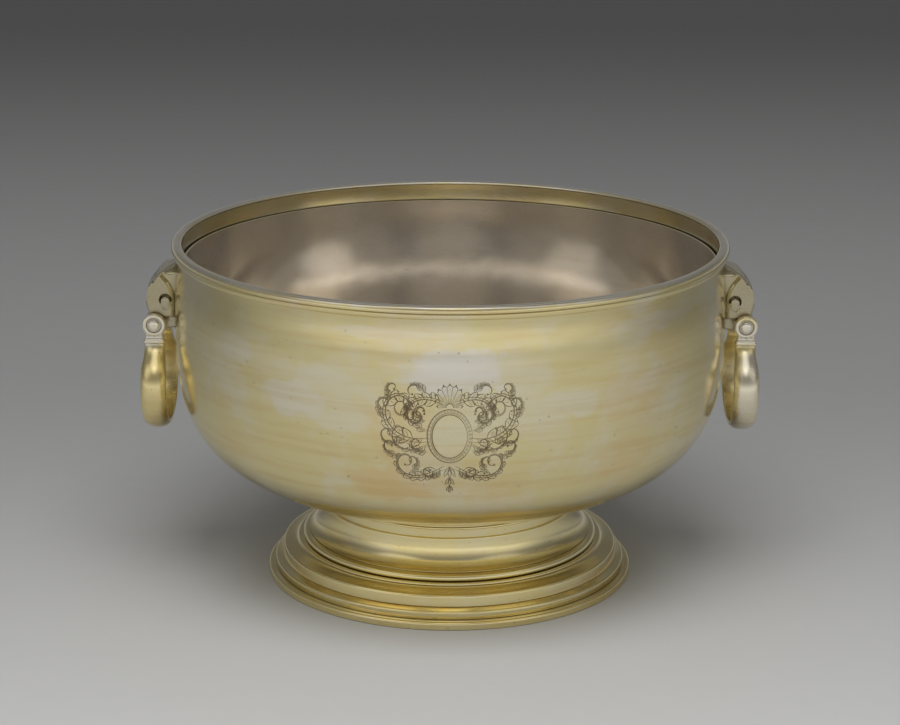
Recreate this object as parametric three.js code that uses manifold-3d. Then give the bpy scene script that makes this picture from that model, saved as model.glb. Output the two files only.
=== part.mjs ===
// A large footed bowl with a liner and two hinged drop handles on scroll brackets.
// Millimetres, +Z up. The origin is the centre of the foot's underside, and X runs through the handles.
import * as THREE from 'three';
import { mergeVertices } from 'three/addons/utils/BufferGeometryUtils.js';
import Module from 'manifold-3d';

const wasm = await Module();
wasm.setup();

// General fits
const fitGap = 0.3; // between pieces that touch
const roundSteps = 36; // facets round the bowl and foot
const smallSteps = 18; // facets round pins, eyes and nuts
const bowlStations = 16; // points up the bowl's section

// Bowl: a raised shell whose belly is a superellipse, flat underneath, below a slightly drawn-in neck
const neckRadius = 175;
const bellySwell = 3.5; // belly radius beyond the neck
const bowlWall = 1.6;
const bowlBase = 57; // height of the bowl's underside on its axis
const bowlDepth = 121; // from the underside up to the widest part
const neckRise = 32.6; // from the widest part up to the straight neck
const bellySpread = 3; // superellipse exponent across, larger is flatter underneath
const bellyFullness = 3.4; // superellipse exponent upwards, larger is steeper at the side
const neckHeightAbove = 13.9; // straight neck and rim above that

// Rim: a rounded lip over the wall's edge with a small bead below it
const rimOverhang = 5;
const rimLipHeight = 4;
const rimBeadHeight = 4.4;
const rimCover = 1.5; // metal above the wall's edge
const rimInset = 0.2; // lip inside the wall's inner face

// Liner: a thin bowl inside, held by the studs' nuts, its edge below the rim
const linerWall = 1.2;
const linerClearance = 0.4;
const linerBelowRim = 13;

// Foot: a flared hollow neck on a bead, a stepped tier and a flat edge wire, each ring this much wider than the last
const waistRadius = 82.3;
const filletStep = 1.3;
const neckFlare = 9.6;
const beadStep = 4.2;
const coveStep = 3.2;
const tierStep = 10;
const lipStep = 5.4;
const wireStep = 4.5;
const footWireWidth = 10.5;
const footWireHeight = 5.2;
const footSheet = 1.6;
const tierHeight = 18.1;
const coveDrop = 1.6; // the cove below the tier's inner edge
const shoulderDrop = 3.8; // the shoulder below the tier's inner edge
const lipHeight = 5.3;
const beadHeight = 4.4;
const beadWidth = 9;
const filletDrop = 14; // the neck's fillet below the underside of the bowl
const collarWire = 1.5; // radius of the wire round the joint of foot and bowl

// Brackets: scrolls with a hinge barrel at the lower end
const pivotStandoff = 12.3; // pivot axis beyond the belly
const pivotBelowRim = 53.5;
const bracketBelowRim = 15.5;
const bracketHalfWidth = 18.7;
const bracketEdge = 1.5; // rounding of the scroll's edges
const scrollOverhang = 5.7; // scroll beyond the pivot axis
const barrelRadius = 6.6;
const tipAbovePivot = 3.6;
const leafInset = 1.6; // the root is this much narrower on each side
const bossRadius = 3.1;
const bossRise = 0.35;
const bossInboard = 7.2;
const bossAbovePivot = 13.5;
const grooveWidth = 1.5;
const grooveDepth = 0.9;

// Threaded stud, washer and nut that clamp bracket, bowl and liner
const studRadius = 1.75;
const studBelowRim = 20;
const studInBracket = 5.4;
const studProud = 1.1; // beyond the nut
const holeClearance = 0.3;
const washerRadius = 4.3;
const washerThickness = 0.9;
const nutFlats = 6;
const nutThickness = 3.2;

// Hinge pins with round heads sunk in the handles' eyes
const pinRadius = 3;
const pinHeadRadius = 3.7;
const pinHeadThickness = 1.3;
const recessRadius = 5.1;
const recessDepth = 1;

// Handles: a broad domed band bent to a loop below two eyes
const eyeRadius = 7.4;
const eyeThickness = 5.4;
const eyeSideClearance = 0.35;
const eyeEdge = 0.7;
const neckHalfWidth = 6;
const collarDrop = 9.6;
const collarHeight = 2.6;
const collarHalfWidth = 7.2;
const collarGroove = 0.7;
const collarProud = 0.7;
const loopWidth = 82.6;
const loopDrop = 72.9; // pivot axis to the lowest point
const bandHalfWidth = 8.25;
const bandThickness = 5.4;
const bandDome = 2.5; // rise of the band's crown above its edges
const bandBevel = 0.9; // slope of its sides
const bandSteps = 26;

// Places that follow from the sizes above
const bellyRadius = neckRadius + bellySwell;
const bellyHeight = bowlBase + bowlDepth;
const rimTop = bellyHeight + neckRise + neckHeightAbove;
const wallTop = rimTop - rimCover - fitGap;
const linerTop = rimTop - linerBelowRim;
const pivotRadius = bellyRadius + pivotStandoff;
const pivotHeight = rimTop - pivotBelowRim;
const studHeight = rimTop - studBelowRim;
const filletRadius = waistRadius + filletStep;
const neckFootRadius = filletRadius + neckFlare;
const beadRadius = neckFootRadius + beadStep;
const coveRadius = beadRadius + coveStep;
const tierBodyRadius = coveRadius + tierStep;
const tierLipRadius = tierBodyRadius + lipStep;
const footRadius = tierLipRadius + wireStep;
const tierBase = footWireHeight + fitGap;
const tierTop = tierBase + tierHeight;
const beadBase = tierTop + fitGap;
const beadTop = beadBase + beadHeight;
const eyeInner = bracketHalfWidth + bossRise + eyeSideClearance;
const eyeMiddle = eyeInner + eyeThickness / 2;
const eyeOuter = eyeInner + eyeThickness;

const silver = 0xb9aea2;
const gilt = 0xb29a5c;
const paleGilt = 0xc2b48a;

// Solids: a geometry becomes a closed body with merged corners and faces outwards

function closeBody(geometry) {
  const bare = geometry.clone();
  bare.deleteAttribute('normal');
  bare.deleteAttribute('uv');
  const merged = mergeVertices(bare, 1e-4);
  const corners = merged.getAttribute('position');
  const order = merged.getIndex();
  const faces = [];
  for (let i = 0; i < order.count; i += 3) {
    const face = [order.getX(i), order.getX(i + 1), order.getX(i + 2)];
    if (new Set(face).size === 3) faces.push(face);
  }
  if (signedVolume(corners, faces) < 0) faces.forEach((face) => face.reverse());
  merged.setIndex(faces.flat());
  return merged;
}

function signedVolume(corners, faces) {
  const [a, b, c] = [new THREE.Vector3(), new THREE.Vector3(), new THREE.Vector3()];
  let volume = 0;
  for (const [i, j, k] of faces) {
    a.fromBufferAttribute(corners, i);
    b.fromBufferAttribute(corners, j);
    c.fromBufferAttribute(corners, k);
    volume += a.dot(b.cross(c)) / 6;
  }
  return volume;
}

function toSolid(geometry) {
  const body = closeBody(geometry);
  const vertProperties = new Float32Array(body.getAttribute('position').array);
  const triVerts = new Uint32Array(body.getIndex().array);
  return new wasm.Manifold(new wasm.Mesh({ numProp: 3, vertProperties, triVerts }));
}

function toGeometry(solid) {
  const mesh = solid.getMesh();
  const geometry = new THREE.BufferGeometry();
  geometry.setAttribute('position', new THREE.BufferAttribute(new Float32Array(mesh.vertProperties), 3));
  geometry.setIndex(Array.from(mesh.triVerts));
  return geometry;
}

function joinAll(solids) {
  return solids.reduce((whole, solid) => whole.add(solid));
}

// Revolved about Z: the outline's x is the radius and its y the height
function revolve(outline, steps = roundSteps) {
  return closeBody(new THREE.LatheGeometry(outline, steps).rotateX(Math.PI / 2));
}

function ring(outline, curveSteps = 2) {
  outline.closePath();
  return revolve(outline.getPoints(curveSteps));
}

// A round bar along Y or X
function barAlongY(radius, length, steps = smallSteps) {
  return new THREE.CylinderGeometry(radius, radius, length, steps);
}

function barAlongX(radius, from, to, height, steps = smallSteps) {
  const bar = new THREE.CylinderGeometry(radius, radius, to - from, steps).rotateZ(Math.PI / 2);
  return bar.translate((from + to) / 2, 0, height);
}

// A plate with its outline in XZ and its thickness centred on Y
function plateAcrossY(outline, thickness, edge = 0, curveSteps = 5) {
  const plate = new THREE.ExtrudeGeometry(outline, {
    depth: thickness - 2 * edge,
    curveSegments: curveSteps,
    bevelEnabled: edge > 0,
    bevelThickness: edge,
    bevelSize: edge,
    bevelOffset: -edge,
    bevelSegments: 1,
  });
  return plate.rotateX(Math.PI / 2).translate(0, thickness / 2 - edge, 0);
}

// Bowl section

// Points of the outer face, from the axis to the rim, each with its direction inwards
function outerFace() {
  const face = [];
  const turns = 90;
  for (let i = 0; i <= turns; i += 1) {
    const angle = (i / turns) * (Math.PI / 2);
    const sink = Math.cos(angle) ** (2 / bellyFullness);
    const reach = Math.sin(angle) ** (2 / bellySpread);
    face.push(new THREE.Vector2(bellyRadius * reach, bellyHeight - bowlDepth * sink));
  }
  const rises = 40;
  for (let i = 1; i <= rises; i += 1) {
    const part = i / rises;
    const swell = bellySwell * (0.5 + 0.5 * Math.cos(Math.PI * part));
    face.push(new THREE.Vector2(neckRadius + swell, bellyHeight + neckRise * part));
  }
  face.push(new THREE.Vector2(neckRadius, rimTop));
  return face;
}

// A curve's points spaced evenly along it
function evenly(points, count) {
  const lengths = [0];
  points.slice(1).forEach((point, i) => lengths.push(lengths[i] + point.distanceTo(points[i])));
  const total = lengths[lengths.length - 1];
  const spaced = [];
  for (let i = 0; i < count; i += 1) {
    const target = (total * i) / (count - 1);
    const after = Math.max(1, lengths.findIndex((length) => length >= target - 1e-9));
    const part = (target - lengths[after - 1]) / (lengths[after] - lengths[after - 1]);
    spaced.push(points[after - 1].clone().lerp(points[after], part));
  }
  return spaced;
}

// The bowl's section moved inwards by a distance and cut off level at a height.
// Every shell shares the same stations, so nested walls stay parallel.
function bowlCurve(inwards, top) {
  const face = evenly(outerFace(), bowlStations);
  const moved = face.map((point, i) => {
    const before = face[Math.max(0, i - 1)];
    const after = face[Math.min(face.length - 1, i + 1)];
    const along = after.clone().sub(before).normalize();
    return new THREE.Vector2(point.x - along.y * inwards, point.y + along.x * inwards);
  });
  moved[0].x = 0;
  return cutAtHeight(moved, top);
}

function cutAtHeight(points, top) {
  const kept = points.filter((point) => point.y < top - 0.01);
  const last = kept[kept.length - 1];
  const next = points[kept.length];
  const part = next ? (top - last.y) / (next.y - last.y) : 0;
  const radius = next ? last.x + part * (next.x - last.x) : last.x;
  kept.push(new THREE.Vector2(radius, top));
  return kept;
}

function outerRadiusAt(height) {
  const face = outerFace();
  const after = face.findIndex((point) => point.y >= height);
  const low = face[after - 1];
  const high = face[after];
  return low.x + ((height - low.y) / (high.y - low.y)) * (high.x - low.x);
}

function undersideAt(radius) {
  const share = 1 - (radius / bellyRadius) ** bellySpread;
  return bellyHeight - bowlDepth * share ** (1 / bellyFullness);
}

function shell(outerInwards, innerInwards, top) {
  const outer = bowlCurve(outerInwards, top);
  const inner = bowlCurve(innerInwards, top);
  return revolve([...outer, ...inner.reverse()]);
}

function withStudHoles(geometry) {
  const reach = bellyRadius + 10;
  const hole = barAlongX(studRadius + holeClearance, -reach, reach, studHeight);
  return toGeometry(toSolid(geometry).subtract(toSolid(hole)));
}

// Rim and foot rings

function rimGeometry() {
  const inner = neckRadius - bowlWall - rimInset;
  const wallFace = neckRadius + fitGap;
  const outer = neckRadius + rimOverhang;
  const lipBase = rimTop - rimLipHeight;
  const base = lipBase - rimBeadHeight;
  const groove = outer - 2.2;
  const outline = new THREE.Path();
  outline.moveTo(inner, wallTop + fitGap);
  outline.lineTo(wallFace, wallTop + fitGap);
  outline.lineTo(wallFace, base);
  outline.lineTo(wallFace + 1, base);
  outline.quadraticCurveTo(groove + 1.1, base + 0.6, groove + 0.7, base + rimBeadHeight / 2);
  outline.quadraticCurveTo(groove + 0.7, lipBase - 0.4, groove, lipBase);
  outline.quadraticCurveTo(outer, lipBase, outer, lipBase + rimLipHeight / 2);
  outline.quadraticCurveTo(outer - 0.2, rimTop, outer - 2.8, rimTop);
  outline.lineTo(inner + 1.1, rimTop - 0.1);
  outline.quadraticCurveTo(inner, rimTop - 0.2, inner, wallTop + fitGap);
  return ring(outline);
}

function collarGeometry() {
  const middleRadius = waistRadius + fitGap + collarWire;
  const outline = new THREE.Path();
  outline.absarc(middleRadius, undersideAt(middleRadius) - fitGap - collarWire, collarWire, 0, Math.PI * 2);
  return revolve(outline.getPoints(4));
}

function footNeckGeometry() {
  const fillet = undersideAt(waistRadius) - filletDrop;
  const foot = beadTop + fitGap;
  const innerTop = waistRadius - footSheet;
  const outline = new THREE.Path();
  outline.moveTo(waistRadius, undersideAt(waistRadius) - fitGap * 1.5);
  outline.lineTo(waistRadius, fillet + 1.4);
  outline.quadraticCurveTo(filletRadius, fillet + 1.2, filletRadius, fillet);
  outline.quadraticCurveTo(filletRadius + 0.8, foot + 2.4, neckFootRadius, foot + 0.3);
  outline.lineTo(neckFootRadius, foot);
  outline.lineTo(neckFootRadius - footSheet - 1, foot);
  outline.quadraticCurveTo(filletRadius - 0.4, foot + 1, filletRadius - footSheet, fillet);
  outline.lineTo(innerTop, fillet + 1.4);
  outline.lineTo(innerTop, undersideAt(innerTop) - fitGap * 1.5);
  return ring(outline, 4);
}

function footBeadGeometry() {
  const inner = beadRadius - beadWidth;
  const outline = new THREE.Path();
  outline.moveTo(inner, beadBase);
  outline.lineTo(beadRadius - 0.9, beadBase);
  outline.quadraticCurveTo(beadRadius, beadBase + 0.4, beadRadius, beadBase + 1.6);
  outline.quadraticCurveTo(beadRadius - 0.2, beadTop - 0.6, beadRadius - 2.4, beadTop - 0.2);
  outline.lineTo(beadRadius - 3.6, beadTop);
  outline.lineTo(inner, beadTop);
  return ring(outline);
}

function footTierGeometry() {
  const shoulder = tierTop - shoulderDrop;
  const lip = tierBase + lipHeight;
  const inner = beadRadius - beadWidth;
  const sheet = footSheet;
  const outline = new THREE.Path();
  outline.moveTo(inner, tierTop);
  outline.lineTo(coveRadius - 0.7, tierTop);
  outline.quadraticCurveTo(coveRadius, tierTop, coveRadius, tierTop - coveDrop);
  outline.quadraticCurveTo(coveRadius + 1, shoulder + 0.6, coveRadius + 4.6, shoulder + 0.3);
  outline.lineTo(tierBodyRadius - 1.2, shoulder);
  outline.quadraticCurveTo(tierBodyRadius, shoulder, tierBodyRadius, shoulder - 1.3);
  outline.lineTo(tierBodyRadius + 0.4, lip + 1);
  outline.lineTo(tierLipRadius - 1.2, lip);
  outline.quadraticCurveTo(tierLipRadius, lip - 0.2, tierLipRadius, lip - 1.4);
  outline.lineTo(tierLipRadius - 0.5, tierBase);
  outline.lineTo(tierLipRadius - 0.5 - sheet, tierBase);
  outline.lineTo(tierLipRadius - 0.5 - sheet, lip - sheet);
  outline.lineTo(tierBodyRadius + 0.2 - sheet, lip + 1 - sheet);
  outline.lineTo(tierBodyRadius - sheet, shoulder - sheet - 0.6);
  outline.lineTo(coveRadius + 4.4, shoulder + 0.3 - sheet);
  outline.quadraticCurveTo(coveRadius - 0.2, shoulder + 0.5 - sheet, coveRadius - 1.4, tierTop - sheet);
  outline.lineTo(inner, tierTop - sheet);
  return ring(outline);
}

function footWireGeometry() {
  const inner = footRadius - footWireWidth;
  const outline = new THREE.Path();
  outline.moveTo(inner, 0);
  outline.lineTo(footRadius - 0.8, 0);
  outline.quadraticCurveTo(footRadius, 0, footRadius, 0.9);
  outline.lineTo(footRadius, footWireHeight - 1.8);
  outline.quadraticCurveTo(footRadius - 0.2, footWireHeight - 0.2, footRadius - 2.4, footWireHeight);
  outline.lineTo(inner, footWireHeight);
  return ring(outline);
}

// Brackets

// The scroll's side outline, from the wall over the top and down to the barrel, then back to the wall
function scrollOutline(rootRadius) {
  const top = rimTop - bracketBelowRim;
  const reach = pivotRadius + scrollOverhang;
  const belly = pivotHeight + 17.5;
  const tip = pivotHeight + tipAbovePivot;
  const wall = outerRadiusAt(tip);
  const outline = new THREE.Shape();
  outline.moveTo(rootRadius, top);
  outline.lineTo(neckRadius + 1.5, top);
  outline.bezierCurveTo(neckRadius + 9, top - 2.9, reach - 0.2, top - 8.4, reach, belly);
  outline.bezierCurveTo(reach, belly - 4.5, reach - 1.3, belly - 8.2, pivotRadius + 2.8, pivotHeight + 5);
  outline.lineTo(pivotRadius - 2, pivotHeight + 3.4);
  outline.quadraticCurveTo(pivotRadius - 6.4, tip + 0.2, wall + 1.6, tip + 0.6);
  outline.lineTo(wall, tip);
  outline.lineTo(rootRadius, tip);
  return outline;
}

// Side pockets beside the wall, which leave the root narrower than the volute
function leafPocket(rootRadius) {
  const top = rimTop;
  const low = pivotHeight - 2;
  const outline = new THREE.Shape();
  outline.moveTo(rootRadius, top);
  outline.lineTo(pivotRadius - 4.4, top);
  outline.bezierCurveTo(pivotRadius - 6.6, pivotHeight + 31, pivotRadius - 12, pivotHeight + 24,
    pivotRadius - 12.4, pivotHeight + 15);
  outline.quadraticCurveTo(pivotRadius - 12.4, pivotHeight + 7, pivotRadius - 9.4, low);
  outline.lineTo(rootRadius, low);
  return plateAcrossY(outline, leafInset * 2, 0, 6);
}

// A crescent groove that winds round the volute's boss
function voluteGroove() {
  const shift = grooveWidth * 0.8;
  const outer = bossRadius + grooveWidth + shift;
  const outline = new THREE.Shape();
  outline.absarc(shift * 0.6, 0, outer, -0.2, Math.PI * 0.86, false);
  outline.absarc(0, -shift * 0.35, bossRadius + 0.1, Math.PI * 0.96, -0.1, true);
  return plateAcrossY(outline, grooveDepth * 2, 0, 8);
}

function bracketGeometry() {
  const rootRadius = neckRadius - 6;
  const bossX = pivotRadius - bossInboard;
  const bossZ = pivotHeight + bossAbovePivot;
  const barrel = barAlongY(barrelRadius, bracketHalfWidth * 2).translate(pivotRadius, 0, pivotHeight);
  const scroll = plateAcrossY(scrollOutline(rootRadius), bracketHalfWidth * 2, bracketEdge);
  const boss = barAlongY(bossRadius, (bracketHalfWidth + bossRise) * 2, 16).translate(bossX, 0, bossZ);
  let body = toSolid(scroll).add(toSolid(barrel));
  for (const side of [-1, 1]) {
    const pocket = leafPocket(rootRadius).translate(0, side * bracketHalfWidth, 0);
    const groove = voluteGroove().translate(bossX, side * bracketHalfWidth, bossZ);
    body = body.subtract(toSolid(pocket)).subtract(toSolid(groove));
  }
  body = body.add(toSolid(boss));
  const keepOut = revolve([...bowlCurve(-fitGap, rimTop), new THREE.Vector2(0, rimTop)]);
  const pinHole = barAlongY(pinRadius + fitGap, bracketHalfWidth * 4).translate(pivotRadius, 0, pivotHeight);
  const studEnd = neckRadius + studInBracket + fitGap;
  const studHole = barAlongX(studRadius + holeClearance, rootRadius, studEnd, studHeight, 16);
  return toGeometry(body.subtract(toSolid(keepOut)).subtract(toSolid(pinHole)).subtract(toSolid(studHole)));
}

function linerFaceRadius() {
  return neckRadius - bowlWall - linerClearance - linerWall;
}

function washerOuterFace() {
  return Math.sqrt(linerFaceRadius() ** 2 - washerRadius ** 2) - fitGap;
}

function nutOuterFace() {
  return washerOuterFace() - washerThickness - fitGap;
}

function studGeometry() {
  const inner = nutOuterFace() - nutThickness - studProud;
  return closeBody(barAlongX(studRadius, inner, neckRadius + studInBracket, studHeight, 16));
}

function drilled(outer, from, to) {
  const hole = barAlongX(studRadius + holeClearance, from - 1, to + 1, studHeight, 16);
  return toGeometry(toSolid(outer).subtract(toSolid(hole)));
}

function washerGeometry() {
  const outer = washerOuterFace();
  const inner = outer - washerThickness;
  return drilled(barAlongX(washerRadius, inner, outer, studHeight, 16), inner, outer);
}

function nutGeometry() {
  const outer = nutOuterFace();
  const inner = outer - nutThickness;
  return drilled(barAlongX(nutFlats / Math.sqrt(3), inner, outer, studHeight, 6), inner, outer);
}

// Handles, drawn about their pivot axis

function pinGeometry() {
  const headBase = eyeOuter - recessDepth + fitGap;
  const end = headBase + pinHeadThickness;
  const outline = [
    new THREE.Vector2(0, -end),
    new THREE.Vector2(pinHeadRadius - 0.7, -end),
    new THREE.Vector2(pinHeadRadius, -end + 0.6),
    new THREE.Vector2(pinHeadRadius, -headBase),
    new THREE.Vector2(pinRadius, -headBase),
  ];
  const far = outline.map((point) => new THREE.Vector2(point.x, -point.y)).reverse();
  return closeBody(new THREE.LatheGeometry([...outline, ...far], smallSteps));
}

function eyeOutline() {
  const neckAngle = Math.asin(neckHalfWidth / eyeRadius);
  const outline = new THREE.Shape();
  outline.moveTo(-neckHalfWidth, -collarDrop - 0.5);
  outline.lineTo(neckHalfWidth, -collarDrop - 0.5);
  outline.absarc(0, 0, eyeRadius, -Math.PI / 2 + neckAngle, Math.PI * 1.5 - neckAngle, false);
  return outline;
}

// The band's section: flat inside, with sloping sides and a domed outer face
function bandSection() {
  const inside = -bandThickness / 2;
  const crown = bandThickness / 2;
  const edge = crown - bandDome;
  const half = bandHalfWidth;
  const face = half - bandBevel;
  const outline = new THREE.Shape();
  outline.moveTo(-half + 1, inside);
  outline.lineTo(half - 1, inside);
  outline.quadraticCurveTo(half, inside, half, inside + 1);
  outline.quadraticCurveTo(half - bandBevel * 0.3, edge - 0.5, face, edge);
  outline.quadraticCurveTo(face * 0.8, crown - bandDome * 0.35, face * 0.45, crown - bandDome * 0.14);
  outline.quadraticCurveTo(0, crown + bandDome * 0.14, -face * 0.45, crown - bandDome * 0.14);
  outline.quadraticCurveTo(-face * 0.8, crown - bandDome * 0.35, -face, edge);
  outline.quadraticCurveTo(-half + bandBevel * 0.3, edge - 0.5, -half, inside + 1);
  outline.quadraticCurveTo(-half, inside, -half + 1, inside);
  return outline;
}

// The loop's middle line, down one arm, round the bottom and up the other
function loopPath() {
  const side = loopWidth / 2 - bandThickness / 2;
  const low = -loopDrop + bandThickness / 2;
  const start = -collarDrop - collarHeight - collarGroove;
  const wide = low + (start - low) * 0.5;
  const at = (y, z) => new THREE.Vector3(0, y, z);
  const path = new THREE.CurvePath();
  path.add(new THREE.CubicBezierCurve3(at(eyeMiddle, start), at(eyeMiddle + 1.5, start - 9),
    at(side, wide + 17), at(side, wide)));
  path.add(new THREE.CubicBezierCurve3(at(side, wide), at(side, wide - 18),
    at(side * 0.56, low), at(0, low)));
  path.add(new THREE.CubicBezierCurve3(at(0, low), at(-side * 0.56, low),
    at(-side, wide - 18), at(-side, wide)));
  path.add(new THREE.CubicBezierCurve3(at(-side, wide), at(-side, wide + 17),
    at(-eyeMiddle - 1.5, start - 9), at(-eyeMiddle, start)));
  return path;
}

function collarBar(side) {
  const outline = new THREE.Shape();
  const low = -collarDrop - collarHeight;
  outline.moveTo(-collarHalfWidth + 0.6, low);
  outline.lineTo(collarHalfWidth - 0.6, low);
  outline.quadraticCurveTo(collarHalfWidth + 0.5, low + collarHeight / 2, collarHalfWidth - 0.6, -collarDrop);
  outline.lineTo(-collarHalfWidth + 0.6, -collarDrop);
  outline.quadraticCurveTo(-collarHalfWidth - 0.5, low + collarHeight / 2, -collarHalfWidth + 0.6, low);
  const thickness = eyeThickness + collarProud;
  return plateAcrossY(outline, thickness, 0, 3).translate(0, side * (eyeInner + thickness / 2), 0);
}

function handleGeometry() {
  const band = new THREE.ExtrudeGeometry(bandSection(), {
    steps: bandSteps,
    curveSegments: 2,
    extrudePath: loopPath(),
  });
  const pieces = [toSolid(band)];
  const grooveTop = -collarDrop - collarHeight + 0.4;
  const grooveLow = -collarDrop - collarHeight - collarGroove - 1.2;
  for (const side of [-1, 1]) {
    const eye = plateAcrossY(eyeOutline(), eyeThickness, eyeEdge, 7).translate(0, side * eyeMiddle, 0);
    const link = new THREE.BoxGeometry(neckHalfWidth * 2, eyeThickness - 1, grooveTop - grooveLow);
    link.translate(0, side * eyeMiddle, (grooveTop + grooveLow) / 2);
    pieces.push(toSolid(eye), toSolid(collarBar(side)), toSolid(link));
  }
  let body = joinAll(pieces).subtract(toSolid(barAlongY(pinRadius + fitGap, eyeOuter * 3)));
  for (const side of [-1, 1]) {
    const recess = barAlongY(recessRadius, recessDepth * 2).translate(0, side * eyeOuter, 0);
    body = body.subtract(toSolid(recess));
  }
  return toGeometry(body);
}

// Assembly

function piece(name, geometry, color, roughness) {
  const material = new THREE.MeshStandardMaterial({ color, roughness, metalness: 1 });
  const mesh = new THREE.Mesh(geometry, material);
  mesh.name = name;
  return mesh;
}

function handleSide(side, turn) {
  const fittings = new THREE.Group();
  fittings.rotation.z = turn;
  fittings.add(piece(`bracket_${side}`, bracketGeometry(), gilt, 0.3));
  fittings.add(piece(`bracket_stud_${side}`, studGeometry(), silver, 0.35));
  fittings.add(piece(`stud_washer_${side}`, washerGeometry(), silver, 0.35));
  fittings.add(piece(`stud_nut_${side}`, nutGeometry(), silver, 0.3));
  const hinge = new THREE.Group();
  hinge.position.set(pivotRadius, 0, pivotHeight);
  hinge.add(piece(`hinge_pin_${side}`, pinGeometry(), paleGilt, 0.3));
  hinge.add(piece(`handle_${side}`, handleGeometry(), gilt, 0.25));
  fittings.add(hinge);
  return fittings;
}

function footGroup() {
  const foot = new THREE.Group();
  foot.add(piece('foot_wire', footWireGeometry(), gilt, 0.3));
  foot.add(piece('foot_tier', footTierGeometry(), gilt, 0.3));
  foot.add(piece('foot_bead', footBeadGeometry(), gilt, 0.3));
  foot.add(piece('foot_neck', footNeckGeometry(), gilt, 0.3));
  foot.add(piece('foot_collar', collarGeometry(), gilt, 0.3));
  return foot;
}

function bowlGroup() {
  const bowl = new THREE.Group();
  const linerOutside = bowlWall + linerClearance;
  bowl.add(piece('bowl_body', withStudHoles(shell(0, bowlWall, wallTop)), gilt, 0.3));
  bowl.add(piece('rim_moulding', rimGeometry(), gilt, 0.3));
  bowl.add(piece('liner', withStudHoles(shell(linerOutside, linerOutside + linerWall, linerTop)), silver, 0.25));
  return bowl;
}

const footedBowl = new THREE.Group();
footedBowl.add(footGroup());
footedBowl.add(bowlGroup());
footedBowl.add(handleSide('right', 0));
footedBowl.add(handleSide('left', Math.PI));

export default footedBowl;
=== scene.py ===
import cmath
import math

import bpy
import numpy as np
from mathutils import Matrix, Vector
from mathutils.geometry import delaunay_2d_cdt


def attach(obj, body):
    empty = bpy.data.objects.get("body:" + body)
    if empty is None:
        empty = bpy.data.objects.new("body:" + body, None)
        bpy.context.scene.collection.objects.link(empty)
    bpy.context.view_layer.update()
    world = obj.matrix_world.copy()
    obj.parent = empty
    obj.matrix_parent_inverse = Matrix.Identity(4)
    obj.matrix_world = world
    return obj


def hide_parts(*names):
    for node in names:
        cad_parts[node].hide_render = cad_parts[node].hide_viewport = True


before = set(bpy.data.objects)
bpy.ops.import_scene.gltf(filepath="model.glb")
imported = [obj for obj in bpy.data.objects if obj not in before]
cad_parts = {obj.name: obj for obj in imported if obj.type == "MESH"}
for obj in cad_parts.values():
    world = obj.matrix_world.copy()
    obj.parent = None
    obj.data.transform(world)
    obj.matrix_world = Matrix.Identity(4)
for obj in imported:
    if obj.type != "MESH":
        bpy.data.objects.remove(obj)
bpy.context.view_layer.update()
mm = 0.001
print("frame loaded:", len(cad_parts), "nodes")

# Sizes in millimetres, as in the part
bowl = {
    "neckRadius": 175, "bellySwell": 3.5, "wall": 1.6, "base": 57, "depth": 121, "neckRise": 32.6,
    "neckAbove": 13.9, "spread": 3, "fullness": 3.4, "bendStart": 6, "bendLength": 38,
    "bellyPoints": 180, "bendPoints": 60, "spacing": 2.2, "shortest": 0.05, "steps": 240,
}
bellyRadius = bowl["neckRadius"] + bowl["bellySwell"]
bellyHeight = bowl["base"] + bowl["depth"]
rimTop = bellyHeight + bowl["neckRise"] + bowl["neckAbove"]
gap = 0.3


def onCurve(points, t):
    while len(points) > 1:
        points = [a.lerp(b, t) for a, b in zip(points, points[1:])]
    return points[0]


# Outlines are flat: x is the radius or reach, y the height. A move is a point, after its handles if it curves
def traceLine(start, moves, fine=7):
    points = [Vector(start)]
    for move in moves:
        ends = [points[-1]] + [Vector(move[i:i + 2]) for i in range(0, len(move), 2)]
        steps = fine if len(ends) > 2 else 1
        points += [onCurve(ends, (i + 1) / steps) for i in range(steps)]
    return points


def arcLine(radius, first, last, steps, centre=(0, 0)):
    angles = [math.radians(first + (last - first) * i / steps) for i in range(steps + 1)]
    return [Vector((centre[0] + radius * math.cos(a), centre[1] + radius * math.sin(a))) for a in angles]


def circleLine(radius, count=72, centre=(0, 0)):
    return arcLine(radius, 0, 360, count, centre)[:-1]


def mirrored(line):  # carries on from x = 0 to the other side
    return line + [Vector((-p.x, p.y)) for p in line[-2::-1]]


def lengthsAlong(line):
    return np.append(0, np.cumsum(np.hypot(*np.diff(line, axis=0).T)))


def spaceOut(points, spacing, closed=False):
    line = np.array([*points, points[0]] if closed else points)
    lengths = lengthsAlong(line)
    count = max(2, round(lengths[-1] / spacing))
    places = np.linspace(0, lengths[-1], count + 1)[:count if closed else None]
    return [Vector(p) for p in zip(*(np.interp(places, lengths, values) for values in line.T))]


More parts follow.
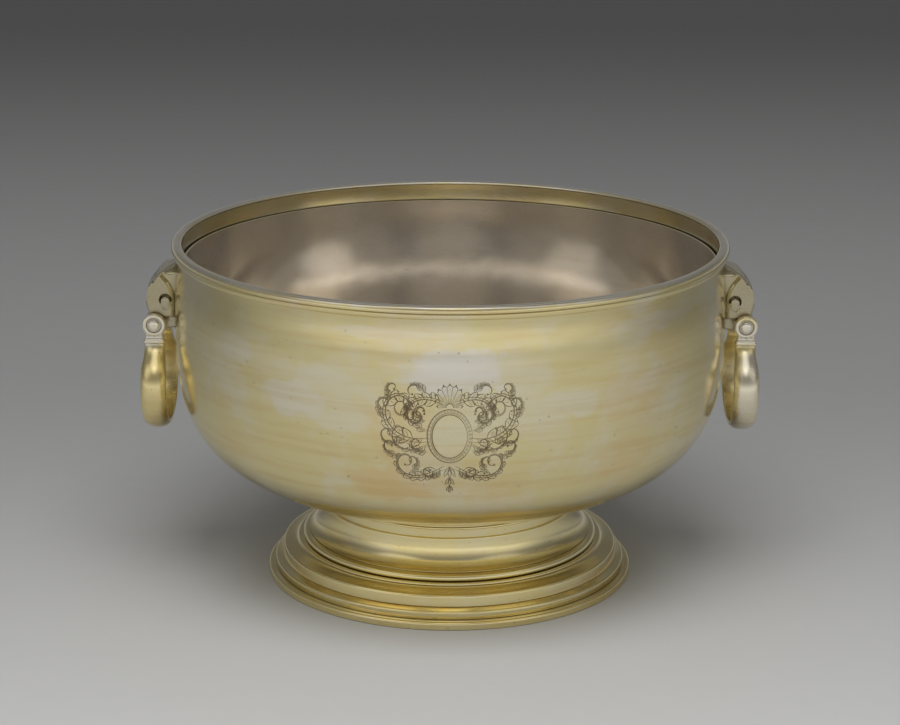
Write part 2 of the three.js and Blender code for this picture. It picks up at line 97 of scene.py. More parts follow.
def bowlFace(inwards=0.0, top=rimTop):
    face = []
    for i in range(bowl["bellyPoints"] + 1):
        angle = math.pi / 2 * i / bowl["bellyPoints"]
        sink = max(0.0, math.cos(angle)) ** (2 / bowl["fullness"])
        reach = math.sin(angle) ** (2 / bowl["spread"])
        face.append(Vector((bellyRadius * reach, bellyHeight - bowl["depth"] * sink)))
    for i in range(bowl["bendPoints"] + 1):
        part = i / bowl["bendPoints"]
        swell = bowl["bellySwell"] * (0.5 + 0.5 * math.cos(math.pi * part))
        height = bellyHeight + bowl["bendStart"] + bowl["bendLength"] * part
        face.append(Vector((bowl["neckRadius"] + swell, height)))
    face.append(Vector((bowl["neckRadius"], rimTop + 5)))
    face = spaceOut(face, bowl["spacing"])
    beside = zip(face[:1] + face, face, face[1:] + face[-1:])
    moved = [p + (b - a).normalized().orthogonal() * inwards for a, p, b in beside]
    moved[0].x = 0.0
    kept = [p for p in moved if p.y < top - bowl["shortest"]]
    following = moved[len(kept)]
    kept.append(kept[-1].lerp(following, (top - kept[-1].y) / (following.y - kept[-1].y)))
    return kept


outerFace = bowlFace()


def wallRadius(height):
    return float(np.interp(height, [p.y for p in outerFace], [p.x for p in outerFace]))


def undersideAt(radius):
    share = 1 - (radius / bellyRadius) ** bowl["spread"]
    return bellyHeight - bowl["depth"] * share ** (1 / bowl["fullness"])


def newObject(name, data):
    made = bpy.data.objects.new(name, data)
    bpy.context.scene.collection.objects.link(made)
    return made


def meshObject(name, corners, edges=(), faces=(), scale=mm):
    mesh = bpy.data.meshes.new(name)
    mesh.from_pydata([Vector(c) * scale for c in corners], edges, faces)
    mesh.update()
    return newObject(name, mesh)


def faceOut(mesh):
    mesh.calc_loop_triangles()
    triangles = [[mesh.vertices[i].co for i in t.vertices] for t in mesh.loop_triangles]
    if sum(a.dot(b.cross(c)) for a, b, c in triangles) < 0:  # six times the volume
        mesh.flip_normals()


def joined(name, parts):
    corners, faces = [], []
    for part in parts:
        faces += [[i + len(corners) for i in p.vertices] for p in part.data.polygons]
        corners += [v.co[:] for v in part.data.vertices]
        bpy.data.objects.remove(part)
    return meshObject(name, corners, faces=faces, scale=1)


def smoothed(made, angle):
    made.data.polygons.foreach_set("use_smooth", [True] * len(made.data.polygons))
    made.data.set_sharp_from_angle(angle=math.radians(angle))
    return made


def turnedAbout(made, matrix):
    made.data.transform(matrix)
    made.data.update()
    return made


# Nodes: a socket takes a value or another node's output, and a socket knows its own tree
def plugIn(node, sockets):
    for key, value in sockets.items():
        if isinstance(value, bpy.types.NodeSocket):
            value.id_data.links.new(value, node.inputs[key])
        else:
            node.inputs[key].default_value = value


def addNode(tree, kind, sockets=None, **settings):
    node = tree.nodes.new(kind)
    for key, value in settings.items():
        setattr(node, key, value)
    plugIn(node, sockets or {})
    return node.outputs


def shapeNode(tree, kind, sockets=None, **settings):
    return addNode(tree, "GeometryNode" + kind, sockets, **settings)


def maths(operation, a, b=0.0, c=0.0):
    return addNode(a.id_data, "ShaderNodeMath", {0: a, 1: b, 2: c}, operation=operation)[0]


def times(a, b, plus=0.0):
    return maths("MULTIPLY_ADD", a, b, plus)


def vectorMaths(operation, a, b=(0, 0, 0)):
    outputs = addNode(a.id_data, "ShaderNodeVectorMath", {0: a, 1: b}, operation=operation)
    return outputs["Value" if operation in ("LENGTH", "DOT_PRODUCT") else "Vector"]


def splitUp(vector):
    return addNode(vector.id_data, "ShaderNodeSeparateXYZ", {0: vector})


def curveOf(geometry):
    return shapeNode(geometry.id_data, "MeshToCurve", {"Mesh": geometry})[0]


def shapeOf(thing):
    return shapeNode(thing.id_data, "ObjectInfo", {"Object": thing})["Geometry"]


def startTree(name, sockets):
    tree = bpy.data.node_groups.new(name, "GeometryNodeTree")
    sockets = {"Geometry": "Geometry", **sockets, "Sharp Angle": "Float", "Material": "Material"}
    for label, kind in sockets.items():
        tree.interface.new_socket(name=label, in_out="INPUT", socket_type="NodeSocket" + kind)
    tree.interface.new_socket(name="Geometry", in_out="OUTPUT", socket_type="NodeSocketGeometry")
    return tree, tree.nodes.new("NodeGroupInput").outputs


def finishTree(tree, inputs, source):
    angle = shapeNode(tree, "InputMeshEdgeAngle")[0]
    isSharp = addNode(tree, "FunctionNodeCompare", {0: angle, 1: inputs["Sharp Angle"]}, data_type="FLOAT",
                      operation="GREATER_THAN")[0]
    smooth = shapeNode(tree, "SetShadeSmooth", {"Geometry": source}, domain="FACE")[0]
    creased = shapeNode(tree, "SetShadeSmooth", {
        "Geometry": smooth, "Selection": isSharp, "Shade Smooth": False}, domain="EDGE")[0]
    realized = shapeNode(tree, "RealizeInstances", {"Geometry": creased})[0]
    finished = shapeNode(tree, "SetMaterial", {"Geometry": realized, "Material": inputs["Material"]})
    plugIn(tree.nodes.new("NodeGroupOutput"), {"Geometry": finished[0]})
    return tree


def makeTurningTree():
    tree, inputs = startTree("turnedPiece", {"Steps": "Int"})
    radius = 0.1  # the profile moves in by as much as the circle that carries it round
    place = shapeNode(tree, "Transform", {
        "Geometry": inputs["Geometry"], "Translation": (-radius, 0, 0)})[0]
    circle = shapeNode(tree, "CurvePrimitiveCircle", {"Resolution": inputs["Steps"], "Radius": radius})[0]
    upright = shapeNode(tree, "SetCurveNormal", {"Curve": circle}, mode="Z_UP")[0]
    sweep = shapeNode(tree, "CurveToMesh", {"Curve": upright, "Profile Curve": curveOf(place)})
    merge = shapeNode(tree, "MergeByDistance", {"Geometry": sweep[0], "Distance": 1e-6})
    return finishTree(tree, inputs, merge[0])


def makeBandTree():
    tree, inputs = startTree("bandAlongPath", {
        "Section": "Object", "Side": "Vector", "End Scale": "Float", "Shoulder": "Float"})
    fromEnd = maths("PINGPONG", shapeNode(tree, "SplineParameter")[0], 0.5)
    swell = addNode(tree, "ShaderNodeMapRange", {
        "Value": fromEnd, "From Max": inputs["Shoulder"], "To Min": inputs["End Scale"]},
        interpolation_type="SMOOTHERSTEP")[0]
    upright = shapeNode(tree, "SetCurveNormal", {
        "Curve": curveOf(inputs["Geometry"]), "Normal": inputs["Side"]}, mode="FREE")[0]
    section = curveOf(shapeOf(inputs["Section"]))
    sweep = shapeNode(tree, "CurveToMesh", {
        "Curve": upright, "Profile Curve": section, "Scale": swell, "Fill Caps": True})
    return finishTree(tree, inputs, sweep[0])


def runTree(made, tree, values):
    modifier = made.modifiers.new(tree.name, "NODES")
    modifier.node_group = tree
    for item in tree.interface.items_tree:
        if item.in_out == "INPUT" and item.name in values:
            modifier[item.identifier] = values[item.name]
    graph = bpy.context.evaluated_depsgraph_get()
    made.data = bpy.data.meshes.new_from_object(made.evaluated_get(graph))
    made.modifiers.clear()
    faceOut(made.data)
    return made


turningTree = makeTurningTree()
bandTree = makeBandTree()
sharpAngle = 0.6


def chainOf(count, closed):
    return [(i, (i + 1) % count) for i in range(count if closed else count - 1)]


def turned(name, profile, finish, steps, closed=True, sharp=sharpAngle):
    made = meshObject(name, [(p.x, -p.y, 0) for p in profile], chainOf(len(profile), closed))
    return runTree(made, turningTree, {"Steps": steps, "Sharp Angle": sharp, "Material": metals[finish]})


def swept(name, path, section, closed=False, endScale=1.0, shoulder=0.05, side=(1, 0, 0)):
    cut = meshObject(name + "Section", [(p.x, p.y, 0) for p in section], chainOf(len(section), True))
    made = meshObject(name, path, chainOf(len(path), closed))
    runTree(made, bandTree, {
        "Section": cut, "Side": side, "End Scale": endScale, "Shoulder": shoulder, "Sharp Angle": sharpAngle,
        "Material": metals["giltCastings"]})
    bpy.data.objects.remove(cut)
    return made


def segmentDistance(points, loops):
    best = np.full(len(points), np.inf)
    for loop in loops:
        for a, b in zip(loop, np.roll(loop, -1, axis=0)):
            along = b - a
            part = np.clip((points - a) @ along / max(along @ along, 1e-12), 0, 1)
            best = np.minimum(best, np.hypot(*(points - a - part[:, None] * along).T))
    return best


def insideLoops(points, loops):
    x, y = points.T
    inside = np.zeros(len(points), bool)
    for loop in loops:
        for (ax, ay), (bx, by) in zip(loop, np.roll(loop, -1, axis=0)):
            if ay != by:
                inside ^= ((ay > y) != (by > y)) & (x < (bx - ax) * (y - ay) / (by - ay) + ax)
    return inside


casting = {"rows": (0.04, 0.14, 0.3, 0.5, 0.75, 1.0), "rowSlack": 0.012, "gridRise": 0.87, "gridClear": 0.4}


# A cast plate is a flat outline whose two faces follow a height rule
def castPlate(name, loops, halfHeight, spacing, edge, across):
    loops = [np.array(spaceOut(loop, spacing, True)) for loop in loops]
    # Rows of points close inside every edge carry its rounding
    beside, wanted = [], []
    for loop in loops:
        tangent = np.roll(loop, -1, axis=0) - np.roll(loop, 1, axis=0)
        normal = np.stack([-tangent[:, 1], tangent[:, 0]], 1)
        normal /= np.linalg.norm(normal, axis=1, keepdims=True)
        for share in casting["rows"]:
            for depth in (-edge * share, edge * share):
                beside.append(loop + normal * depth)
                wanted.append(np.full(len(loop), edge * share - casting["rowSlack"]))
    beside = np.concatenate(beside)
    clear = segmentDistance(beside, loops) > np.concatenate(wanted)
    beside = beside[insideLoops(beside, loops) & clear]
    low, high = loops[0].min(0), loops[0].max(0)
    rows = np.arange(low[1], high[1], spacing * casting["gridRise"])
    grid = np.array([(x + i % 2 * spacing / 2, y) for i, y in enumerate(rows)
                     for x in np.arange(low[0], high[0], spacing)])
    grid = grid[insideLoops(grid, loops)]
    grid = grid[segmentDistance(grid, loops) > edge + spacing * casting["gridClear"]]
    edges, start = [], 0
    for loop in loops:
        edges += [(start + a, start + b) for a, b in chainOf(len(loop), True)]
        start += len(loop)
    corners = [Vector(c) for c in np.concatenate([*loops, beside, grid])]
    points, _, faces, _, _, _ = delaunay_2d_cdt(corners, edges, [], 0, 1e-5)
    points = np.array(points)
    middles = np.array([points[list(f)].mean(0) for f in faces])
    faces = [list(f) for f, keep in zip(faces, insideLoops(middles, loops)) if keep]
    heights = halfHeight(points, segmentDistance(points, loops))
    count = len(points)
    vertices = [(x, way * height, z) for way in (1, -1) for (x, z), height in zip(points, heights)]
    polygons = faces + [[i + count for i in reversed(f)] for f in faces]
    sides = dict.fromkeys((a, b) for f in faces for a, b in zip(f, f[1:] + f[:1]))
    border = [(a, b) for a, b in sides if (b, a) not in sides]
    ladder = {}
    for a in {i for pair in border for i in pair}:
        x, z = points[a]
        rungs = range(len(vertices), len(vertices) + across - 1)
        vertices += [(x, heights[a] * (1 - 2 * i / across), z) for i in range(1, across)]
        ladder[a] = [a, *rungs, a + count]
    for a, b in border:
        for i in range(across):
            polygons.append([ladder[b][i], ladder[a][i], ladder[a][i + 1], ladder[b][i + 1]])
    made = meshObject(name, vertices, faces=polygons)
    faceOut(made.data)
    return made


def roundedEdge(half, depth, edge):
    inner = np.clip(1 - depth / edge, 0, 1)
    return half - edge * (1 - np.sqrt(1 - inner ** 2))


def blend(low, high, value):
    t = np.clip((value - low) / (high - low), 0, 1)
    return t * t * (3 - 2 * t)


# What every finish has unless it says otherwise. A patch is a kind, a centre, a size and a strength
plainFinish = {
    "wear": 0.4, "warmth": 0.5, "rough": 0.2, "roughSpread": 0.08, "scratch": 0.6, "spun": 0.0, "sway": 0.3,
    "streaked": 0.0, "grimeAndShade": 0.62, "grain": 0.05, "metal": 1.0, "brushed": 0.0, "patches": [],
}
# A finish's dirt colour is both painted shade in crevices and dirt in specks; grime sets how open a hollow may be
# and still take that painted shade
finishes = {
    "giltBowl": {
        "gold": (0.79, 0.695, 0.375), "worn": (0.82, 0.79, 0.71), "warm": (0.8, 0.62, 0.33),
        "dirtAndShade": (0.12, 0.08, 0.03), "rough": 0.18, "roughSpread": 0.07, "scratch": 0.7, "spun": 0.8,
        "sway": 0.26, "streaked": 0.3, "metal": 0.93,
        "patches": [
            ("worn", (0, 0, 225), (280, 280, 3), 0.8), ("worn", (8, -178, 185), (42, 24, 17), 0.9),
            ("worn", (-75, -161, 178), (24, 22, 9), 0.5), ("worn", (-92, -152, 161), (30, 26, 14), 0.6),
            ("worn", (-64, -166, 152), (20, 20, 9), 0.4), ("worn", (-131, -121, 184), (20, 24, 12), 0.5),
            ("worn", (-36, -172, 207), (46, 22, 4), 0.4), ("worn", (122, -128, 203), (44, 44, 6), 0.4),
            ("worn", (70, -164, 163), (26, 24, 10), 0.45), ("warm", (-32, -172, 112), (36, 30, 16), 0.8),
            ("warm", (-30, -175, 148), (24, 24, 26), 0.5), ("warm", (104, -140, 120), (30, 30, 16), 0.5),
        ],
    },
    # Painted light: the foot carries the bowl's gilding, painted brighter to lift it out of the bowl's shadow
    "giltFoot": {
        "gold": (0.91, 0.785, 0.405), "worn": (0.86, 0.83, 0.7), "warm": (0.8, 0.62, 0.3),
        "dirtAndShade": (0.14, 0.085, 0.035), "wear": 0.25, "warmth": 0.35, "rough": 0.15, "spun": 0.8, "sway": 0.18,
        "grimeAndShade": 0.42, "streaked": 0.35, "metal": 0.97,
    },
    # Painted shade: the brackets carry the handles' gilding, painted much darker
    "giltBrackets": {
        "gold": (0.45, 0.4, 0.26), "worn": (0.52, 0.48, 0.39), "warm": (0.48, 0.35, 0.17),
        "dirtAndShade": (0.06, 0.04, 0.02), "wear": 0.35, "warmth": 0.35, "rough": 0.27, "scratch": 0.5,
        "grimeAndShade": 0.75, "grain": 0.015,
    },
    "giltCastings": {
        "gold": (0.82, 0.7, 0.36), "worn": (0.8, 0.755, 0.65), "warm": (0.74, 0.56, 0.24),
        "dirtAndShade": (0.08, 0.05, 0.025), "wear": 0.2, "warmth": 0.45, "rough": 0.24, "sway": 0.25,
        "grimeAndShade": 0.92, "grain": 0.02, "metal": 0.96, "streaked": 0.2,
        "patches": [
            ("worn", (-190.8, 0, 168), (14, 90, 14), 0.9), ("worn", (190.8, 0, 168), (14, 90, 14), 0.9),
            ("worn", (192, -30, 128), (26, 30, 34), 0.75),
        ],
    },
    "palePins": {
        "gold": (0.85, 0.79, 0.64), "worn": (0.84, 0.8, 0.74), "warm": (0.84, 0.66, 0.42),
        "dirtAndShade": (0.1, 0.06, 0.03), "wear": 0.5, "warmth": 0.3, "roughSpread": 0.1,
    },
    # Painted shade: the engraved cuts are flat strips coloured dark for the shade in their grooves
    "engravedLines": {
        "gold": (0.2, 0.15, 0.09), "worn": (0.34, 0.28, 0.17), "warm": (0.15, 0.1, 0.06),
        "dirtAndShade": (0.1, 0.07, 0.04), "wear": 0.7, "rough": 0.42, "roughSpread": 0.15, "scratch": 0.0, "sway": 0.0,
    },
    "silverLiner": {
        "gold": (0.81, 0.745, 0.645), "worn": (0.84, 0.8, 0.74), "warm": (0.78, 0.65, 0.47),
        "dirtAndShade": (0.14, 0.1, 0.08), "warmth": 0.45, "rough": 0.095, "roughSpread": 0.03, "scratch": 1.0,
        "spun": 0.9, "sway": 0.2, "brushed": 0.6, "grain": 0.0, "streaked": 0.15, "metal": 0.89,
    },
    "silverFixings": {
        "gold": (0.86, 0.81, 0.76), "worn": (0.88, 0.85, 0.82), "warm": (0.7, 0.6, 0.5),
        "dirtAndShade": (0.05, 0.04, 0.03), "warmth": 0.2, "rough": 0.16, "scratch": 0.5, "sway": 0.0,
    },
}
# Waves to a metre of the marks on the metal, and how they are drawn out
waves = {"warm": 13, "broad": 19, "sway": 34, "middle": 75, "specks": 420, "fine": 900}
drawnOut = {"streaks": (9, 9, 170), "spun": (5, 5, 1300), "hairline": (22, 420, 420), "hairlines": (60, 60, 60)}
hairlineTurns = ((0.3, 0.5, 0.9), (1.2, 0.2, 2.2), (0.7, 1.4, 0.1))


def noiseAt(vector, scale, detail=3.0, roughness=0.55, distortion=0.0):
    return addNode(vector.id_data, "ShaderNodeTexNoise", {
        "Vector": vector, "Scale": scale, "Detail": detail, "Roughness": roughness,
        "Distortion": distortion})[0]


def stretch(vector, scale, turn=(0, 0, 0)):
    return addNode(vector.id_data, "ShaderNodeMapping", {"Vector": vector, "Scale": scale, "Rotation": turn})[0]


def between(value, low, high, toLow=0.0, toHigh=1.0):
    sockets = {"Value": value, "From Min": low, "From Max": high, "To Min": toLow, "To Max": toHigh}
    return addNode(value.id_data, "ShaderNodeMapRange", sockets, interpolation_type="SMOOTHSTEP")[0]


def stirred(value, noise, spread):
    return times(maths("SUBTRACT", noise, 0.5), spread, value)


def mixColour(amount, a, b, mode="MIX"):
    a, b = (c if isinstance(c, bpy.types.NodeSocket) else (*c, 1.0) for c in (a, b))
    return addNode(amount.id_data, "ShaderNodeMix", {0: amount, 6: a, 7: b}, data_type="RGBA", blend_type=mode)[2]


def hairlines(vector, turn):
    lines = noiseAt(stretch(vector, drawnOut["hairline"], turn), 1.0, 1.0)
    line = between(maths("ABSOLUTE", maths("SUBTRACT", lines, 0.5)), 0.0, 0.006, 1.0, 0.0)
    patch = noiseAt(stretch(vector, drawnOut["hairlines"], turn), 1.0, 2.0)
    return times(line, between(patch, 0.5, 0.62))


def newMaterial(name):
    material = bpy.data.materials.new(name)
    material.use_nodes = True
    return material, material.node_tree, addNode(material.node_tree, "ShaderNodeTexCoord")["Object"]


def metalFinish(name):
    look = {**plainFinish, **finishes[name]}
    material, tree, place = newMaterial(name)
    broad = noiseAt(place, waves["broad"], 4.0, 0.6, 0.4)
    middle = noiseAt(place, waves["middle"])
    fine = noiseAt(place, waves["fine"], 2.0)
    warmth = noiseAt(stretch(place, (1, 1, 1), (0.4, 1.1, 2.0)), waves["warm"])
    masks = {
        "worn": between(times(middle, 0.35, broad), 0.6, 0.85, 0.0, look["wear"]),
        "warm": between(warmth, 0.5, 0.75, 0.0, look["warmth"]),
    }
    for kind, centre, size, amount in look["patches"]:
        away = vectorMaths("SUBTRACT", place, [c * mm for c in centre])
        reach = vectorMaths("LENGTH", vectorMaths("MULTIPLY", away, [1 / (s * mm) for s in size]))
        ragged = stirred(stirred(reach, middle, 1.1), broad, 0.9)
        masks[kind] = maths("MAXIMUM", masks[kind], between(ragged, 0.6, 1.05, amount, 0.0))
    streaks = noiseAt(stretch(place, drawnOut["streaks"]), 1.0, 5.0, 0.65)
    streaks = between(streaks, 0.42, 0.72, 0.0, look["streaked"])
    # Painted shade and grime: ambient occlusion darkens the colour towards the dirt-and-shade colour in crevices,
    # grooves and recesses, and roughens them
    occlusion = addNode(tree, "ShaderNodeAmbientOcclusion", {"Distance": 4 * mm}, samples=6)["AO"]
    shadeAndGrime = between(occlusion, 0.15, look["grimeAndShade"], 0.88, 0.0)
    specks = between(noiseAt(place, waves["specks"], 1.0), 0.75, 0.775, 0.0, 0.5)
    colour = mixColour(masks["warm"], look["gold"], look["warm"])
    colour = mixColour(masks["worn"], colour, look["worn"])
    colour = mixColour(streaks, colour, look["warm"], "MULTIPLY")
    for mask in (shadeAndGrime, specks):
        colour = mixColour(mask, colour, look["dirtAndShade"])
    lines = hairlines(place, hairlineTurns[0])
    for turn in hairlineTurns[1:]:
        lines = maths("MAXIMUM", lines, hairlines(place, turn))
    scratch = 0.12 * look["scratch"]
    rough = stirred(stirred(look["rough"], middle, look["roughSpread"]), fine, 0.04)
    rough = times(lines, scratch, rough)
    rough = times(shadeAndGrime, 0.3, rough)
    spun = noiseAt(stretch(place, drawnOut["spun"]), 1.0, 2.0)
    height = times(spun, 0.05 * look["spun"], times(lines, -scratch))
    height = times(fine, look["grain"], height)
    sway = {"Strength": look["sway"], "Distance": 0.9 * mm, "Height": noiseAt(place, waves["sway"], 1.0)}
    marks = {"Strength": 0.35, "Distance": 0.1 * mm, "Height": height,
             "Normal": addNode(tree, "ShaderNodeBump", sway)[0]}
    sockets = {
        "Base Color": colour, "Roughness": rough, "Normal": addNode(tree, "ShaderNodeBump", marks)[0],
        "Metallic": look["metal"],  # tarnish scatters a little light
    }
    if look["brushed"]:  # polished round and round, which draws reflections out up and down
        around = addNode(tree, "ShaderNodeTangent", direction_type="RADIAL", axis="Z")[0]
        sockets.update({"Anisotropic": look["brushed"], "Anisotropic Rotation": 0.25, "Tangent": around})
    plugIn(tree.nodes["Principled BSDF"], sockets)
    return material


metals = {name: metalFinish(name) for name in finishes}
print("finishes made:", len(metals))

# The rim and the foot, with radii and heights in millimetres
rim = {"overhang": 5, "lip": 4, "bead": 4.4, "cover": 1.5, "inset": 0.2, "groove": 2.2, "steps": 300}
liner = {"wall": 1.2, "clearance": 0.4, "belowRim": 13, "soften": 0.5}
foot = {
    "waist": 82.3, "fillet": 83.6, "neckFoot": 93.2, "bead": 97.4, "cove": 100.6, "tierBody": 110.6,
    "tierLip": 116, "wire": 120.5, "wireWidth": 10.5, "wireHeight": 5.2, "sheet": 1.6, "tierHeight": 18.1,
    "coveDrop": 1.6, "shoulderDrop": 3.8, "lipHeight": 5.3, "beadHeight": 4.4, "beadWidth": 9,
    "filletDrop": 14, "collarWire": 1.5, "collarPoints": 15, "steps": 264,
}
wallTop = rimTop - rim["cover"] - gap


def rimProfile():
    inner = bowl["neckRadius"] - bowl["wall"] - rim["inset"]
    wallFace = bowl["neckRadius"] + gap
    outer = bowl["neckRadius"] + rim["overhang"]
    lipBase = rimTop - rim["lip"]
    base = lipBase - rim["bead"]
    groove = outer - rim["groove"]
    return traceLine((inner, wallTop + gap), [
        (wallFace, wallTop + gap), (wallFace, base), (wallFace + 0.8, base),
        (groove + 0.9, base + 0.2, groove + 0.8, base + rim["bead"] * 0.5),
        (groove + 0.9, lipBase - 0.7, groove, lipBase - 0.15), (groove - 0.2, lipBase),
        (groove, lipBase + 0.15, outer - 1.6, lipBase - 0.1, outer, lipBase + 0.2),
        (outer, rimTop, outer - 2.8, rimTop), (inner + 1.1, rimTop - 0.1),
        (inner, rimTop - 0.2, inner, rimTop - 1.2),
    ], fine=9)


def footProfiles():
    sheet = foot["sheet"]
    tierBase = foot["wireHeight"] + gap
    tierTop = tierBase + foot["tierHeight"]
    beadBase = tierTop + gap
    beadTop = beadBase + foot["beadHeight"]
    r, top = foot["wire"], foot["wireHeight"]
    inner = r - foot["wireWidth"]
    wire = traceLine((inner, 0), [
        (r - 0.8, 0), (r, 0, r, 0.9), (r, top - 1.6), (r - 0.1, top - 0.1, r - 1.7, top), (r - 2.3, top - 0.1),
        (r - 2.6, top - 0.8, r - 3.0, top - 0.1), (r - 3.5, top), (inner, top),
    ])
    shoulder = tierTop - foot["shoulderDrop"]
    lip = tierBase + foot["lipHeight"]
    body, edge, cove, under = foot["tierBody"], foot["tierLip"], foot["cove"], tierTop - foot["coveDrop"]
    inside = foot["bead"] - foot["beadWidth"]
    tier = traceLine((inside, tierTop), [
        (cove - 0.7, tierTop), (cove, tierTop, cove, tierTop - 0.7), (cove, tierTop - 1.1), (cove - 0.7, under),
        (cove, under - 0.2), (cove + 0.8, shoulder + 0.7, cove + 4.6, shoulder + 0.3), (body - 2.4, shoulder),
        (body, shoulder, body, shoulder - 2.0), (body + 0.2, lip + 1.5), (body - 0.3, lip + 1.2),
        (body + 0.5, lip + 0.8), (edge - 1.6, lip), (edge, lip - 0.1, edge, lip - 1.6), (edge - 0.5, tierBase),
        (edge - 0.5 - sheet, tierBase), (edge - 0.5 - sheet, lip - sheet), (body + 0.2 - sheet, lip + 1 - sheet),
        (body - sheet, shoulder - sheet - 0.6), (cove + 4.4, shoulder + 0.3 - sheet),
        (cove - 0.2, shoulder + 0.5 - sheet, cove - 1.4, tierTop - sheet), (inside, tierTop - sheet),
    ])
    r = foot["bead"]
    bead = traceLine((inside, beadBase), [
        (r - 0.9, beadBase), (r, beadBase + 0.4, r, beadBase + 1.6),
        (r - 0.2, beadTop - 0.6, r - 2.4, beadTop - 0.2), (r - 3.6, beadTop), (inside, beadTop),
    ])
    waist, fillet, neckFoot = foot["waist"], foot["fillet"], foot["neckFoot"]
    level = undersideAt(waist) - foot["filletDrop"]
    base = beadTop + gap
    inner = waist - sheet
    neck = traceLine((waist, undersideAt(waist) - gap * 1.5), [
        (waist, level + 8.4), (waist + 0.9, level + 8.2, waist + 0.9, level + 7.4),
        (waist + 0.9, level + 6.8, waist + 0.1, level + 6.6), (waist, level + 1.5),
        (fillet, level + 1.4, fillet, level + 0.2), (fillet + 0.8, base + 2.4, neckFoot, base + 0.3),
        (neckFoot, base), (neckFoot - sheet - 1, base), (fillet - 0.4, base + 1, fillet - sheet, level),
        (inner, level + 1.4), (inner, undersideAt(inner) - gap * 1.5),
    ], fine=12)
    middle = waist + gap + foot["collarWire"]
    height = undersideAt(middle) - gap - foot["collarWire"]
    collar = circleLine(foot["collarWire"], foot["collarPoints"], (middle, height))
    return {"foot_wire": wire, "foot_tier": tier, "foot_bead": bead, "foot_neck": neck, "foot_collar": collar}


def standFor(made, node, body):
    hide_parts(node)
    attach(made, body)


linerOutside = bowl["wall"] + liner["clearance"]
linerInside = linerOutside + liner["wall"]


def linerProfile():  # it hangs straight where the bowl's own wall swells
    profile = []
    for inset, way in ((linerOutside, 1), (linerInside, -1)):
        limit, soft = bowl["neckRadius"] - inset, liner["soften"]
        for p in bowlFace(inset, rimTop - liner["belowRim"])[::way]:
            profile.append(Vector((limit - soft * math.log1p(math.exp((limit - p.x) / soft)), p.y)))
    profile[0].x = profile[-1].x = 0.0
    return profile


bowlProfile = bowlFace(0, wallTop) + bowlFace(bowl["wall"], wallTop)[::-1]
turnedPieces = [
    ("bowlShell", bowlProfile, "giltBowl", bowl["steps"], False, "bowl_body", "gilt_bowl"),
    ("linerShell", linerProfile(), "silverLiner", bowl["steps"], False, "liner", "silver_liner"),
    ("rimRing", rimProfile(), "giltBowl", rim["steps"], True, "rim_moulding", "gilt_bowl"),
]
for node, profile in footProfiles().items():
    turnedPieces.append((node + "Ring", profile, "giltFoot", foot["steps"], True, node, "gilt_foot"))
for *piece, node, slot in turnedPieces:
    standFor(turned(*piece), node, "bowl")
print("turned pieces made")

# A plain shield in scrolling foliage is engraved on the front: flat cuts as (points, width), laid on the wall and
# coloured dark as painted shade for their grooves
engraving = {"shield": (10.5, 12.5), "height": 145, "stretch": 1.1, "lift": 0.03}


def polar(length, degrees):
    return cmath.rect(length, math.radians(degrees))


def curlFrom(start, heading, length, bend, tighter, steps=56):  # bend and tighter in degrees a millimetre
    points, angle = [start], heading
    for i in range(steps):
        part = (i + 0.5) / steps
        angle += (bend + (tighter - bend) * part ** 2) * length / steps
        points.append(points[-1] + polar(length / steps, angle))
    return points


def bow(a, b, lift, steps=9):
    middle = (a + b) / 2 + (b - a) * 1j * lift
    shares = (i / steps for i in range(steps + 1))
    return [a * (1 - t) ** 2 + middle * 2 * t * (1 - t) + b * t * t for t in shares]


def cutLeaves(cuts, stem, side, first, last, count, size, wide=0.45):
    n = len(stem) - 1
    for k in range(count):
        p, q = (stem[round((first + (last - first) * (k + part) / count) * n)] for part in (0, 0.95))
        along = (q - p) / max(1e-6, abs(q - p))
        out = along * 1j * side
        reach = size * (1 - 0.45 * k / max(1, count - 1))
        tip = (p + q) / 2 + (out + along * 0.9) * reach * 0.8
        cuts += [
            (bow(p, tip, 0.4 * side), wide), (bow(tip, q, 0.22 * side), wide * 0.8),
            (bow(tip, tip + (along * 0.28 - out * 0.34) * reach, -0.5 * side, 5), wide),
            (bow((p + q) / 2, tip - (tip - p) * 0.22, 0.22 * side, 6), 0.26),
        ]
        for h in (0.22, 0.38, 0.54, 0.7):  # shading strokes
            base = q + (tip - q) * h
            cuts.append(([base, base + (p - base) * 0.34 * (1.1 - h)], 0.2))


def cutStem(cuts, start, heading, length, bend, tighter, wide=0.6, thick=1.5, side=1):
    line = curlFrom(start, heading, length, bend, tighter)
    n = len(line) - 1
    other = []
    for i, p in enumerate(line):
        along = line[min(n, i + 1)] - line[max(0, i - 1)]
        other.append(p + along / abs(along) * 1j * side * thick * (1 - i / n) ** 0.7)
    cuts += [(line, wide), (other, wide * 0.7)]
    for i in range(4, n - 14, 2):
        cuts.append(([line[i], line[i] + (other[i] - line[i]) * 0.62], 0.2))
    cuts.append(([line[-1] + polar(0.45, a) for a in range(0, 361, 45)], 0.5))
    return line


def oval(centre, rx, ry, count, shift=0.0):
    turns = (2 * math.pi * (i + shift) / count for i in range(count + 1))
    return [centre + complex(rx * math.cos(t), ry * math.sin(t)) for t in turns]


# A scroll has a start, heading, length, bend at both ends, side and thickness. Its rows of leaves have a side, the
# first and last share of the stem, a count and a size
scrolls = [
    # A large one rolls up and out from the waist of the frame
    (12.2 + 0j, -16, 80, 2.0, 19.5, -1, 2.3,
     [(-1, 0.06, 0.74, 9, 6.4), (1, 0.12, 0.44, 4, 5.2), (1, 0.47, 0.8, 4, 4.0)]),
    # One leaves the shell over the top, and one below turns up against the first
    (4 + 18.5j, 28, 45, -2.0, -25, 1, 1.7, [(1, 0.06, 0.72, 7, 5.6), (-1, 0.1, 0.46, 3, 4.4)]),
    (3.5 - 17j, -30, 52, 0.5, 22.5, -1, 1.9, [(-1, 0.06, 0.74, 8, 5.4), (1, 0.1, 0.44, 4, 4.4)]),
]
